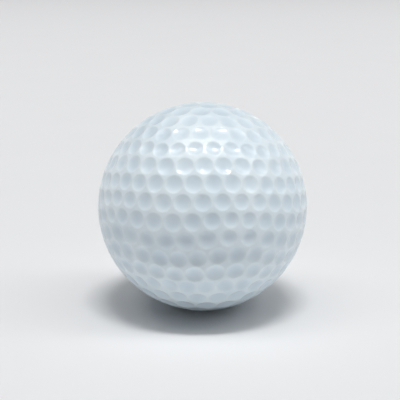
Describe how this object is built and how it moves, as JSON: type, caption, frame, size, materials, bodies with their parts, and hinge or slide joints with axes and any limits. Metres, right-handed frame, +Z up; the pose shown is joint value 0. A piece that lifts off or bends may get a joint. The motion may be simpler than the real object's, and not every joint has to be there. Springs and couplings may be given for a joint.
{
  "type": "golf ball",
  "caption": "A dimpled solid golf ball: a soft centre, a firmer rubber layer, a stiff casing and a moulded dimpled cover in two halves",
  "frame": {"origin": "the centre of the ball", "axes": "+Z is up as the ball lies, -Y faces the viewer at azimuth 0. The ball's own pole, which its rows of dimples and its waved mould seam go round, leans 11 degrees from +Z towards +Y and 1 degree towards +X"},
  "size_m": [0.0426, 0.0426, 0.0426],
  "materials": {
    "centre_rubber": "soft orange polybutadiene rubber, matt, with fine filler specks",
    "core_rubber": "firmer blue polybutadiene rubber, matt, with fine filler specks",
    "casing": "stiff ionomer casing, milky and semi-matt",
    "cover": "cool white moulded cover under a glossy clear coat"
  },
  "bodies": {
    "root": {"inner_core": "centre_rubber", "outer_core_upper": "core_rubber", "outer_core_lower": "core_rubber", "casing_upper": "casing", "casing_lower": "casing", "cover_upper": "cover", "cover_lower": "cover"}
  },
  "joints": []
}
